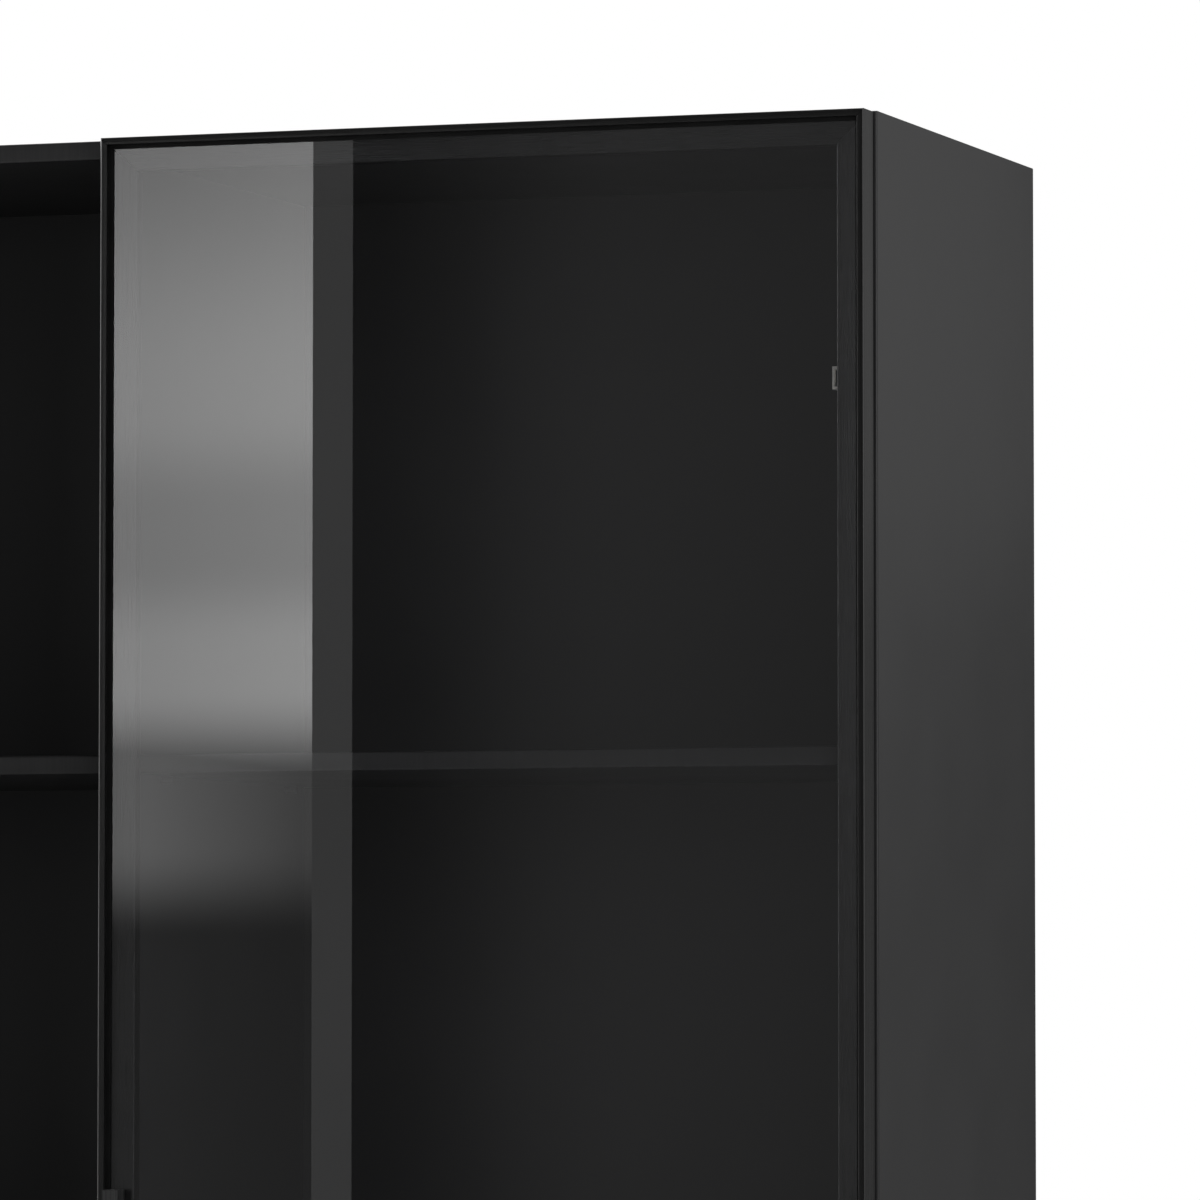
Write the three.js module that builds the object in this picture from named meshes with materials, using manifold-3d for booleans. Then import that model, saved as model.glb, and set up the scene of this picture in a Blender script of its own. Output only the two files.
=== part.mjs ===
// Hanging wall cabinet with one open bay and one bay behind a framed glass door.
// Millimetres. +X is right, +Y goes into the wall, +Z is up, and the fronts face -Y.
// The origin is on the wall rail's back face, midway along the rail.

import * as THREE from 'three';
import { mergeVertices } from 'three/addons/utils/BufferGeometryUtils.js';
import Module from 'manifold-3d';

const wasm = await Module();
wasm.setup();

// ---------------------------------------------------------------- driving dimensions

// Carcass
const WIDTH = 1000;
const HEIGHT = 780;
const CARCASS_DEPTH = 344;
const PANEL = 12;
const BACK_PANEL = 6;
const WALL_SPACE = 34;
const TOP_Z = 50;
const DIVIDER_LEFT = 0;

// Shelves and the pins under them
const SHELF_SETBACK = 8;
const SHELF_BACK_GAP = 2;
const SHELF_SIDE_GAP = 1;
const PIN_RADIUS = 2.4;
const PIN_REACH = 8;
const PIN_DEPTH = 8;
const PIN_INSET = 45;
const DIVIDER_STAGGER = 12;

// Door
const DOOR_WIDTH = 497;
const DOOR_THICKNESS = 20;
const DOOR_GAP = 4;
const DOOR_REVEAL = 1;
const STILE = 20.4;
const LIP = 4.3;
const LIP_DEPTH = 4.6;
const WEB = 1.8;
const GLASS = 4;
const GLASS_RECESS = 6.4;
const MITRE_GAP = 0.15;
const GASKET_EDGE = 6.6;
const CLEAT_LEG = 22;

// Handle, on the door's left stile
const HANDLE_INSET = 5.6;
const HANDLE_WIDTH = 10.4;
const HANDLE_LENGTH = 100;
const HANDLE_DROP = 654;
const HANDLE_PROUD = 4.8;
const HANDLE_BAR = 3;
const HANDLE_POST = 10;
const HANDLE_CHAMFER = 0.8;

// Hinges: height of their middle from the top and from the bottom, and their two pins
const HINGE_FROM_TOP = 162;
const HINGE_FROM_BOTTOM = 95;
const ARM_PIN = [478, -312];
const CUP_PIN = [478, -340];
const LINK_LENGTH = 29;
const LINK_HALF_WIDTH = 2.5;
const LINK_THICKNESS = 2.2;
const LINK_LAYER = 0.2;
const HINGE_PIN_RADIUS = 1.4;

// Wall rail and hangers
const RAIL_THICKNESS = 2;
const RAIL_STEP = 9;
const RAIL_TOP = 20;
const RAIL_BOTTOM = -20;
const RAIL_BEND = 4;
const HANGER_WIDTH = 24.7;
const HANGER_FRONT = -33.7;
const HANGER_BACK = -11;
const HANGER_SCREW_HEIGHTS = { height: 4, depth: -12 };

const CLEARANCE = 0.3;

// Planes worked out from the driving dimensions
const RIGHT = WIDTH / 2;
const INNER = RIGHT - PANEL;
const BOTTOM_Z = TOP_Z - HEIGHT;
const CEILING = TOP_Z - PANEL;
const FLOOR = BOTTOM_Z + PANEL;
const FRONT = -CARCASS_DEPTH;
const BACK_FACE = -WALL_SPACE - BACK_PANEL;
const DIVIDER_RIGHT = DIVIDER_LEFT + PANEL;
const SHELF_TOP = (CEILING + FLOOR + PANEL) / 2;
const SHELF_BOTTOM = SHELF_TOP - PANEL;
const DOOR_BACK = FRONT - DOOR_GAP;
const DOOR_FRONT = DOOR_BACK - DOOR_THICKNESS;
const DOOR_RIGHT = RIGHT - DOOR_REVEAL;
const DOOR_LEFT = DOOR_RIGHT - DOOR_WIDTH;
const DOOR_TOP = TOP_Z - DOOR_REVEAL;
const DOOR_BOTTOM = BOTTOM_Z + DOOR_REVEAL;
const GLASS_FRONT = DOOR_FRONT + GLASS_RECESS;
const TUBE_FRONT = GLASS_RECESS + GLASS + CLEARANCE;
const HINGE_HEIGHTS = { upper: TOP_Z - HINGE_FROM_TOP, lower: BOTTOM_Z + HINGE_FROM_BOTTOM };
const HANDLE_X = DOOR_LEFT + HANDLE_INSET + HANDLE_WIDTH / 2;
const HANDLE_TOP = TOP_Z - HANDLE_DROP;
const HANDLE_BOTTOM = HANDLE_TOP - HANDLE_LENGTH;
const HANDLE_SCREWS = {
  upper: HANDLE_TOP - HANDLE_POST / 2,
  lower: HANDLE_BOTTOM + HANDLE_POST / 2,
};

// ---------------------------------------------------------------- materials

function finish(color, roughness, metalness = 0, extra = {}) {
  return () => new THREE.MeshStandardMaterial({ color, roughness, metalness, ...extra });
}

const blackLaminate = finish(0x17171a, 0.5);
const backBoard = finish(0x121214, 0.6);
const blackAluminium = finish(0x1c1c1e, 0.4, 0.7);
const smokedGlass = finish(0x202124, 0.05, 0, { transparent: true, opacity: 0.4 });
const blackRubber = finish(0x0b0b0b, 0.8);
const nickelSteel = finish(0xb8b8b4, 0.3, 1);
const zincSteel = finish(0xa7abae, 0.45, 1);
const blackPlastic = finish(0x151515, 0.55);
const clearRubber = finish(0xcfd2d2, 0.4);

// ---------------------------------------------------------------- geometry helpers

const X = new THREE.Vector3(1, 0, 0);
const Y = new THREE.Vector3(0, 1, 0);
const Z = new THREE.Vector3(0, 0, 1);

// Each prism axis, with the two directions of its outline.
const PRISM_BASIS = { x: [Y, Z, X], y: [Z, X, Y], z: [X, Y, Z] };

function prism(axis, outline, from, to) {
  const shape = new THREE.Shape(outline.map(([a, b]) => new THREE.Vector2(a, b)));
  const solid = new THREE.ExtrudeGeometry(shape, { depth: to - from, bevelEnabled: false });
  solid.translate(0, 0, from);
  return solid.applyMatrix4(new THREE.Matrix4().makeBasis(...PRISM_BASIS[axis]));
}

function block(x0, x1, y0, y1, z0, z1) {
  const solid = new THREE.BoxGeometry(x1 - x0, y1 - y0, z1 - z0);
  return solid.translate((x0 + x1) / 2, (y0 + y1) / 2, (z0 + z1) / 2);
}

function arc(centre, radius, start, end, steps) {
  const points = [];
  for (let i = 0; i <= steps; i += 1) {
    const angle = start + ((end - start) * i) / steps;
    points.push([centre[0] + radius * Math.cos(angle), centre[1] + radius * Math.sin(angle)]);
  }
  return points;
}

function disc(centre, radius, sides = 20) {
  return arc(centre, radius, 0, 2 * Math.PI * (1 - 1 / sides), sides - 1);
}

// A rod along one axis; its centre is given in that axis's outline directions.
function rod(axis, centre, radius, from, to, sides = 20) {
  return prism(axis, disc(centre, radius, sides), from, to);
}

function roundedRectangle(a0, a1, b0, b1, radius, steps = 4) {
  const quarter = Math.PI / 2;
  return [
    ...arc([a1 - radius, b1 - radius], radius, 0, quarter, steps),
    ...arc([a0 + radius, b1 - radius], radius, quarter, 2 * quarter, steps),
    ...arc([a0 + radius, b0 + radius], radius, 2 * quarter, 3 * quarter, steps),
    ...arc([a1 - radius, b0 + radius], radius, 3 * quarter, 4 * quarter, steps),
  ];
}

function toManifold(geometry) {
  const bare = geometry.clone();
  bare.deleteAttribute('normal');
  bare.deleteAttribute('uv');
  const merged = mergeVertices(bare, 1e-4);
  return new wasm.Manifold(
    new wasm.Mesh({
      numProp: 3,
      vertProperties: new Float32Array(merged.attributes.position.array),
      triVerts: new Uint32Array(merged.index.array),
    }),
  );
}

function fromManifold(solid) {
  const { numProp, vertProperties, triVerts } = solid.getMesh();
  const positions = new Float32Array((vertProperties.length / numProp) * 3);
  for (let i = 0; i < positions.length / 3; i += 1) {
    for (let k = 0; k < 3; k += 1) {
      positions[i * 3 + k] = vertProperties[i * numProp + k];
    }
  }
  const geometry = new THREE.BufferGeometry();
  geometry.setAttribute('position', new THREE.BufferAttribute(positions, 3));
  geometry.setIndex(new THREE.BufferAttribute(new Uint32Array(triVerts), 1));
  geometry.computeVertexNormals();
  return geometry;
}

function cut(body, ...tools) {
  let solid = toManifold(body);
  for (const tool of tools) {
    solid = solid.subtract(toManifold(tool));
  }
  return fromManifold(solid);
}

function join(...bodies) {
  let solid = toManifold(bodies[0]);
  for (const body of bodies.slice(1)) {
    solid = solid.add(toManifold(body));
  }
  return fromManifold(solid);
}

// ---------------------------------------------------------------- scene graph

const cabinet = new THREE.Group();
cabinet.name = 'hanging_wall_cabinet';

function group(name) {
  const child = new THREE.Group();
  child.name = name;
  cabinet.add(child);
  return child;
}

const carcass = group('carcass');
const hanging = group('hanging_hardware');
const door = group('door');
const hinges = group('hinges');

function part(parent, name, geometry, material) {
  const mesh = new THREE.Mesh(geometry, material());
  mesh.name = name;
  parent.add(mesh);
  return mesh;
}

// ---------------------------------------------------------------- carcass

const PIN_ROWS = { front: FRONT + PIN_INSET, rear: BACK_FACE - PIN_INSET };
const PIN_Z = SHELF_BOTTOM - PIN_RADIUS - 0.1;

// The hole for one shelf pin, from a panel face at x, towards into (+1 or -1).
function pinHole(x, into, y) {
  const end = x + into * (PIN_DEPTH + 1);
  const start = x - into;
  const radius = PIN_RADIUS + CLEARANCE;
  return rod('x', [y, PIN_Z], radius, Math.min(start, end), Math.max(start, end));
}

function hingeScrewPlaces(height) {
  return { top: height + 16, bottom: height - 16 };
}

function sidePanels() {
  const left = block(-RIGHT, -INNER, FRONT, 0, BOTTOM_Z, TOP_Z);
  const leftHoles = Object.values(PIN_ROWS).map((y) => pinHole(-INNER, -1, y));
  part(carcass, 'side_panel_left', cut(left, ...leftHoles), blackLaminate);

  const right = block(INNER, RIGHT, FRONT, 0, BOTTOM_Z, TOP_Z);
  const rightHoles = Object.values(PIN_ROWS).map((y) => pinHole(INNER, 1, y));
  for (const height of Object.values(HINGE_HEIGHTS)) {
    for (const z of Object.values(hingeScrewPlaces(height))) {
      rightHoles.push(rod('x', [PLATE_MIDDLE, z], 2.3, INNER - 1, INNER + 9));
    }
  }
  part(carcass, 'side_panel_right', cut(right, ...rightHoles), blackLaminate);
}

function horizontalPanels() {
  part(carcass, 'top_panel', block(-INNER, INNER, FRONT, 0, CEILING, TOP_Z), blackLaminate);
  part(carcass, 'bottom_panel', block(-INNER, INNER, FRONT, 0, BOTTOM_Z, FLOOR), blackLaminate);
}

function centreDivider() {
  const body = block(DIVIDER_LEFT, DIVIDER_RIGHT, FRONT, BACK_FACE, FLOOR, CEILING);
  // The two bays' pins are staggered, so that their holes don't meet in the thin divider.
  const holes = Object.values(PIN_ROWS).flatMap((y) => [
    pinHole(DIVIDER_LEFT, 1, y),
    pinHole(DIVIDER_RIGHT, -1, y + DIVIDER_STAGGER),
  ]);
  part(carcass, 'centre_divider', cut(body, ...holes), blackLaminate);
}

function backPanel() {
  const body = block(-INNER, INNER, BACK_FACE, -WALL_SPACE, FLOOR, CEILING);
  const holes = [-1, 1].flatMap((side) =>
    Object.values(HANGER_SCREW_HEIGHTS).map((z) =>
      rod('y', [z, side * HANGER_MIDDLE], 5, BACK_FACE - 1, -WALL_SPACE + 1),
    ),
  );
  part(carcass, 'back_panel', cut(body, ...holes), backBoard);
}

function shelfPin(name, x, into, y) {
  // A straight pin: one end is in the panel, and the shelf rests on the other.
  const ends = [x - into * PIN_REACH, x + into * PIN_DEPTH];
  const shape = rod('x', [y, PIN_Z], PIN_RADIUS, Math.min(...ends), Math.max(...ends));
  part(carcass, name, shape, blackPlastic);
}

function shelves() {
  const front = FRONT + SHELF_SETBACK;
  const back = BACK_FACE - SHELF_BACK_GAP;
  const bays = {
    left: { x0: -INNER, x1: DIVIDER_LEFT, stagger: 0 },
    right: { x0: DIVIDER_RIGHT, x1: INNER, stagger: DIVIDER_STAGGER },
  };
  for (const [bay, { x0, x1, stagger }] of Object.entries(bays)) {
    const ends = [x0 + SHELF_SIDE_GAP, x1 - SHELF_SIDE_GAP];
    const board = block(...ends, front, back, SHELF_BOTTOM, SHELF_TOP);
    part(carcass, `shelf_${bay}`, board, blackLaminate);
    for (const [row, y] of Object.entries(PIN_ROWS)) {
      shelfPin(`shelf_pin_${bay}_bay_left_${row}`, x0, -1, y + stagger);
      shelfPin(`shelf_pin_${bay}_bay_right_${row}`, x1, 1, y);
    }
  }
}

// ---------------------------------------------------------------- wall rail and hangers

const HANGER_OUTER = INNER - CLEARANCE;
const HANGER_INNER = HANGER_OUTER - HANGER_WIDTH;
const HANGER_MIDDLE = (HANGER_OUTER + HANGER_INNER) / 2;
const HOOK_HALF_WIDTH = 9;
const HOOK_THICKNESS = 3;
const HOOK_UNDERSIDE = RAIL_TOP + CLEARANCE;

function wallRail() {
  const outer = -RAIL_STEP;
  const inner = outer + RAIL_THICKNESS;
  const section = [
    [0, RAIL_BOTTOM],
    [0, RAIL_BEND + RAIL_THICKNESS],
    [inner, RAIL_BEND + RAIL_THICKNESS],
    [inner, RAIL_TOP],
    [outer, RAIL_TOP],
    [outer, RAIL_BEND],
    [-RAIL_THICKNESS, RAIL_BEND],
    [-RAIL_THICKNESS, RAIL_BOTTOM],
  ];
  const body = prism('x', section, -INNER + 2, INNER - 2);
  const holes = [-400, -200, 200, 400].map((x) => rod('y', [-10, x], 3, -RAIL_STEP, 1));
  part(hanging, 'wall_rail', cut(body, ...holes), zincSteel);
}

function hangerScrew(name, x, z) {
  const head = rod('y', [z, x], 4, HANGER_FRONT + 0.3, HANGER_FRONT + 2.3);
  const shank = rod('y', [z, x], 2.5, HANGER_FRONT + 2, -18);
  const slot = block(x - 3, x + 3, HANGER_FRONT, HANGER_FRONT + 1.3, z - 0.6, z + 0.6);
  part(hanging, name, cut(join(head, shank), slot), zincSteel);
}

function hanger(name, side) {
  const x = side * HANGER_MIDDLE;
  const half = HANGER_WIDTH / 2;
  const housing = block(x - half, x + half, HANGER_FRONT, HANGER_BACK, -20, 34);
  const hookSlot = block(
    x - HOOK_HALF_WIDTH - CLEARANCE,
    x + HOOK_HALF_WIDTH + CLEARANCE,
    -30 - CLEARANCE,
    HANGER_BACK + 1,
    HOOK_UNDERSIDE - CLEARANCE,
    HOOK_UNDERSIDE + HOOK_THICKNESS + CLEARANCE,
  );
  const screwHoles = Object.values(HANGER_SCREW_HEIGHTS).flatMap((z) => [
    rod('y', [z, x], 4.3, HANGER_FRONT - 1, HANGER_FRONT + 2.6),
    rod('y', [z, x], 2.8, HANGER_FRONT, -17.5),
  ]);
  part(hanging, `hanger_housing_${name}`, cut(housing, hookSlot, ...screwHoles), blackPlastic);

  const behindRail = -RAIL_STEP + RAIL_THICKNESS + 0.4;
  const hookBack = behindRail + HOOK_THICKNESS;
  const hook = [
    [-30, HOOK_UNDERSIDE],
    [behindRail, HOOK_UNDERSIDE],
    [behindRail, HOOK_UNDERSIDE - 10],
    [hookBack, HOOK_UNDERSIDE - 10],
    [hookBack, HOOK_UNDERSIDE + HOOK_THICKNESS],
    [-30, HOOK_UNDERSIDE + HOOK_THICKNESS],
  ];
  const hookSolid = prism('x', hook, x - HOOK_HALF_WIDTH, x + HOOK_HALF_WIDTH);
  part(hanging, `hanger_hook_${name}`, hookSolid, zincSteel);

  for (const [use, z] of Object.entries(HANGER_SCREW_HEIGHTS)) {
    hangerScrew(`hanger_${use}_screw_${name}`, x, z);
  }
  const cap = roundedRectangle(-21, 13, x - 9, x + 9, 4);
  part(hanging, `hanger_cap_${name}`, prism('y', cap, BACK_FACE - 1.6, BACK_FACE), blackPlastic);
}

// ---------------------------------------------------------------- door

// The four sides of the door. Each runs along its length from an outer corner, with u
// pointing inwards from the outer edge and v from the front face to the back.
const DOOR_SIDES = {
  left: { u: X, v: Y, run: Z, corner: [DOOR_LEFT, DOOR_FRONT, DOOR_BOTTOM] },
  right: {
    u: X.clone().negate(),
    v: Y,
    run: Z.clone().negate(),
    corner: [DOOR_RIGHT, DOOR_FRONT, DOOR_TOP],
  },
  top: { u: Z.clone().negate(), v: Y, run: X, corner: [DOOR_LEFT, DOOR_FRONT, DOOR_TOP] },
  bottom: { u: Z, v: Y, run: X.clone().negate(), corner: [DOOR_RIGHT, DOOR_FRONT, DOOR_BOTTOM] },
};

const FRAME_SECTION = [
  [0, 0],
  [LIP, 0],
  [LIP, LIP_DEPTH],
  [WEB, LIP_DEPTH],
  [WEB, TUBE_FRONT],
  [STILE, TUBE_FRONT],
  [STILE, DOOR_THICKNESS],
  [0, DOOR_THICKNESS],
];

const FRAME_CHAMBER = [
  [WEB, TUBE_FRONT + 1.6],
  [STILE - WEB, TUBE_FRONT + 1.6],
  [STILE - WEB, DOOR_THICKNESS - 1.6],
  [WEB, DOOR_THICKNESS - 1.6],
];

const GASKET_SECTION = [
  [WEB + CLEARANCE, LIP_DEPTH + CLEARANCE],
  [GASKET_EDGE, LIP_DEPTH + CLEARANCE],
  [GASKET_EDGE, GLASS_RECESS - CLEARANCE],
  [WEB + CLEARANCE, GLASS_RECESS - CLEARANCE],
];

// A strip of one section along a side of the door, mitred at both ends.
function mitredStrip(side, section, chamber = null) {
  const vertical = side === 'left' || side === 'right';
  const length = vertical ? DOOR_TOP - DOOR_BOTTOM : DOOR_WIDTH;
  const shape = new THREE.Shape(section.map(([u, v]) => new THREE.Vector2(u, v)));
  if (chamber) {
    shape.holes.push(new THREE.Path(chamber.map(([u, v]) => new THREE.Vector2(u, v))));
  }
  const strip = new THREE.ExtrudeGeometry(shape, { depth: length, bevelEnabled: false });
  const position = strip.attributes.position;
  for (let i = 0; i < position.count; i += 1) {
    const inset = position.getX(i) + MITRE_GAP;
    const atStart = position.getZ(i) < length / 2;
    position.setZ(i, atStart ? inset : length - inset);
  }
  const { u, v, run, corner } = DOOR_SIDES[side];
  strip.applyMatrix4(new THREE.Matrix4().makeBasis(u, v, run));
  return strip.translate(...corner);
}

// Room in the left gasket for the handle's two feet.
function handleNotches() {
  const left = HANDLE_X - HANDLE_WIDTH / 2 - CLEARANCE;
  return Object.values(HANDLE_SCREWS).map((z) => {
    const half = HANDLE_POST / 2 + CLEARANCE;
    return block(left, left + HANDLE_WIDTH, DOOR_FRONT + 1, GLASS_FRONT, z - half, z + half);
  });
}

function handleScrewHoles(radius) {
  return Object.values(HANDLE_SCREWS).map((z) =>
    rod('y', [z, HANDLE_X], radius, DOOR_FRONT, DOOR_BACK + 1),
  );
}

function doorFrame() {
  for (const side of Object.keys(DOOR_SIDES)) {
    const strip = mitredStrip(side, FRAME_SECTION, FRAME_CHAMBER);
    const solid = side === 'left' ? cut(strip, ...handleScrewHoles(2.3)) : strip;
    part(door, `door_frame_${side}`, solid, blackAluminium);
    const gasket = mitredStrip(side, GASKET_SECTION);
    const shape = side === 'left' ? cut(gasket, ...handleNotches()) : gasket;
    part(door, `door_gasket_${side}`, shape, blackRubber);
  }
}

function cornerCleats() {
  const near = WEB + CLEARANCE;
  const far = STILE - WEB - CLEARANCE;
  const legs = [
    [near, near],
    [CLEAT_LEG, near],
    [CLEAT_LEG, far],
    [far, far],
    [far, CLEAT_LEG],
    [near, CLEAT_LEG],
  ];
  const y0 = DOOR_FRONT + TUBE_FRONT + 1.6 + CLEARANCE;
  const y1 = DOOR_BACK - 1.6 - CLEARANCE;
  const corners = {
    top_left: [DOOR_LEFT, 1, DOOR_TOP, -1],
    top_right: [DOOR_RIGHT, -1, DOOR_TOP, -1],
    bottom_left: [DOOR_LEFT, 1, DOOR_BOTTOM, 1],
    bottom_right: [DOOR_RIGHT, -1, DOOR_BOTTOM, 1],
  };
  for (const [name, [x, sx, z, sz]] of Object.entries(corners)) {
    const outline = legs.map(([a, b]) => [z + sz * b, x + sx * a]);
    part(door, `corner_cleat_${name}`, prism('y', outline, y0, y1), zincSteel);
  }
}

function doorGlass() {
  const edge = WEB + 0.6;
  const pane = block(
    DOOR_LEFT + edge,
    DOOR_RIGHT - edge,
    GLASS_FRONT,
    GLASS_FRONT + GLASS,
    DOOR_BOTTOM + edge,
    DOOR_TOP - edge,
  );
  part(door, 'door_glass', cut(pane, ...handleScrewHoles(2.6)), smokedGlass);
}

function handle() {
  const front = DOOR_FRONT - HANDLE_PROUD;
  const barBack = front + HANDLE_BAR;
  const foot = GLASS_FRONT - CLEARANCE;
  const outline = [
    [front + HANDLE_CHAMFER, HANDLE_BOTTOM],
    [foot, HANDLE_BOTTOM],
    [foot, HANDLE_BOTTOM + HANDLE_POST],
    [barBack, HANDLE_BOTTOM + HANDLE_POST],
    [barBack, HANDLE_TOP - HANDLE_POST],
    [foot, HANDLE_TOP - HANDLE_POST],
    [foot, HANDLE_TOP],
    [front + HANDLE_CHAMFER, HANDLE_TOP],
    [front, HANDLE_TOP - HANDLE_CHAMFER],
    [front, HANDLE_BOTTOM + HANDLE_CHAMFER],
  ];
  const half = HANDLE_WIDTH / 2;
  const bow = prism('x', outline, HANDLE_X - half, HANDLE_X + half);
  const holes = Object.values(HANDLE_SCREWS).map((z) =>
    rod('y', [z, HANDLE_X], 2.3, foot - 6, foot + 1),
  );
  part(door, 'handle', cut(bow, ...holes), blackAluminium);
}

function handleScrews() {
  const headBack = DOOR_BACK + 2.1;
  for (const [name, z] of Object.entries(HANDLE_SCREWS)) {
    const head = rod('y', [z, HANDLE_X], 3.6, DOOR_BACK + 0.1, headBack);
    const shank = rod('y', [z, HANDLE_X], 2, GLASS_FRONT - 4, DOOR_BACK + 0.5);
    const recess = prism('y', disc([z, HANDLE_X], 1.5, 6), headBack - 1.2, headBack + 1);
    part(door, `handle_screw_${name}`, cut(join(head, shank), recess), zincSteel);
  }
}

function doorBumpers() {
  const places = { upper: CEILING - 40, lower: FLOOR + 40 };
  for (const [name, z] of Object.entries(places)) {
    const pad = rod('y', [z, DIVIDER_LEFT + 7.5], 3.5, DOOR_BACK + 0.4, FRONT);
    part(carcass, `door_bumper_${name}`, pad, clearRubber);
  }
}

// ---------------------------------------------------------------- hinges

const PLATE_MIDDLE = -308;
const PLATE_THICKNESS = 3.7;
const PLATE_FACE = INNER - 0.1 - PLATE_THICKNESS;
const ARM_TALL = 12;
const ARM_WALL = 1.2;
const ARM_FRONT = -335.5;
const ARM_WEB_FRONT = -324;
const ARM_REAR = -282;
const ARM_OPEN_EDGE = 474;

// One bar of the cross recess in a plate screw's head.
function crossBar(z, halfY, halfZ) {
  const [x0, x1] = [PLATE_FACE - 3, PLATE_FACE - 1.2];
  return block(x0, x1, PLATE_MIDDLE - halfY, PLATE_MIDDLE + halfY, z - halfZ, z + halfZ);
}

function hingePlate(name, height) {
  const spine = prism(
    'x',
    roundedRectangle(-334, -284, height - 7, height + 7, 3),
    PLATE_FACE,
    PLATE_FACE + PLATE_THICKNESS,
  );
  const wings = prism(
    'x',
    roundedRectangle(PLATE_MIDDLE - 8, PLATE_MIDDLE + 8, height - 22, height + 22, 7.5),
    PLATE_FACE,
    PLATE_FACE + PLATE_THICKNESS,
  );
  const places = hingeScrewPlaces(height);
  const holes = Object.values(places).map((z) =>
    rod('x', [PLATE_MIDDLE, z], 2.4, PLATE_FACE - 1, INNER + 1),
  );
  part(hinges, `hinge_${name}_plate`, cut(join(spine, wings), ...holes), nickelSteel);

  for (const [place, z] of Object.entries(places)) {
    const head = rod('x', [PLATE_MIDDLE, z], 3.8, PLATE_FACE - 2.2, PLATE_FACE - 0.1);
    const shank = rod('x', [PLATE_MIDDLE, z], 2, PLATE_FACE - 0.3, INNER + 8);
    const cross = join(crossBar(z, 2.2, 0.5), crossBar(z, 0.5, 2.2));
    part(hinges, `hinge_${name}_plate_screw_${place}`, cut(join(head, shank), cross), nickelSteel);
  }
}

function hingeArm(name, height) {
  const half = ARM_TALL / 2;
  const back = PLATE_FACE - 0.2;
  const body = block(ARM_OPEN_EDGE, back, ARM_FRONT, ARM_REAR, height - half, height + half);
  const channel = block(
    ARM_OPEN_EDGE - 1,
    back - ARM_WALL,
    ARM_FRONT - 1,
    ARM_REAR + 1,
    height - half + ARM_WALL,
    height + half - ARM_WALL,
  );
  // The web stops short of the front, so that the arm link can swing out past it.
  const swingGap = block(
    back - ARM_WALL - 1,
    back + 1,
    ARM_FRONT - 1,
    ARM_WEB_FRONT,
    height - half + ARM_WALL,
    height + half - ARM_WALL,
  );
  // The rear of the upper and lower walls slopes back to the web.
  const slope = prism(
    'z',
    [
      [ARM_OPEN_EDGE - 1, ARM_REAR + 1],
      [ARM_OPEN_EDGE - 1, ARM_REAR - 16],
      [back - ARM_WALL, ARM_REAR + 1],
    ],
    height - half - 1,
    height + half + 1,
  );
  const pin = rod('z', ARM_PIN, HINGE_PIN_RADIUS, height - half + 0.2, height - 0.1);
  part(hinges, `hinge_${name}_arm`, join(cut(body, channel, swingGap, slope), pin), nickelSteel);
}

// A flat link with round ends, from its pin along y, in a layer above or below the middle.
function hingeLink(name, pin, direction, layerFrom, layerTo) {
  const [x, y] = pin;
  const far = [x, y + direction * LINK_LENGTH];
  const start = direction > 0 ? 0 : Math.PI;
  const outline = [
    ...arc(far, LINK_HALF_WIDTH, start, start + Math.PI, 8),
    ...arc(pin, LINK_HALF_WIDTH, start + Math.PI, start + 2 * Math.PI, 8),
  ];
  const plate = prism('z', outline, layerFrom, layerTo);
  const eye = rod('z', pin, HINGE_PIN_RADIUS + CLEARANCE, layerFrom - 1, layerTo + 1);
  part(hinges, name, cut(plate, eye), nickelSteel);
}

function hingeBracket(name, height) {
  const y0 = DOOR_BACK + 0.1;
  const y1 = y0 + 2.4;
  const tall = prism('y', roundedRectangle(height - 16, height + 16, 477, 486, 3), y0, y1);
  const tab = block(472.9, 486, y0, y1, height - 7, height + 7);
  const window = block(474.2, 476.8, y0 - 1, y1 + 1, height - 5.3, height + 5.3);
  const ears = [-1, 1].map((side) => {
    const [z0, z1] = [height + side * 5.4, height + side * 7];
    return block(472.9, 482, y1 - 0.1, -336.5, Math.min(z0, z1), Math.max(z0, z1));
  });
  const pin = rod('z', CUP_PIN, HINGE_PIN_RADIUS, height + 0.1, height + 5.6);
  const body = join(tall, tab, ...ears, pin);
  part(hinges, `hinge_${name}_bracket`, cut(body, window), nickelSteel);
}

function hinge(name, height) {
  hingePlate(name, height);
  hingeArm(name, height);
  const armLayer = [height - LINK_LAYER - LINK_THICKNESS, height - LINK_LAYER];
  const cupLayer = [height + LINK_LAYER, height + LINK_LAYER + LINK_THICKNESS];
  hingeLink(`hinge_${name}_arm_link`, ARM_PIN, -1, ...armLayer);
  hingeLink(`hinge_${name}_cup_link`, CUP_PIN, 1, ...cupLayer);
  hingeBracket(name, height);
}

// ---------------------------------------------------------------- assembly

sidePanels();
horizontalPanels();
centreDivider();
backPanel();
shelves();
doorBumpers();

wallRail();
hanger('left', -1);
hanger('right', 1);

doorFrame();
cornerCleats();
doorGlass();
handle();
handleScrews();

for (const [name, height] of Object.entries(HINGE_HEIGHTS)) {
  hinge(name, height);
}

export default cabinet;
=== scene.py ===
"""Looks of the hanging wall cabinet: black laminate carcass, smoked-glass door, plated hardware."""

import math

import bmesh
import bpy
from mathutils import Matrix, Vector

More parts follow.
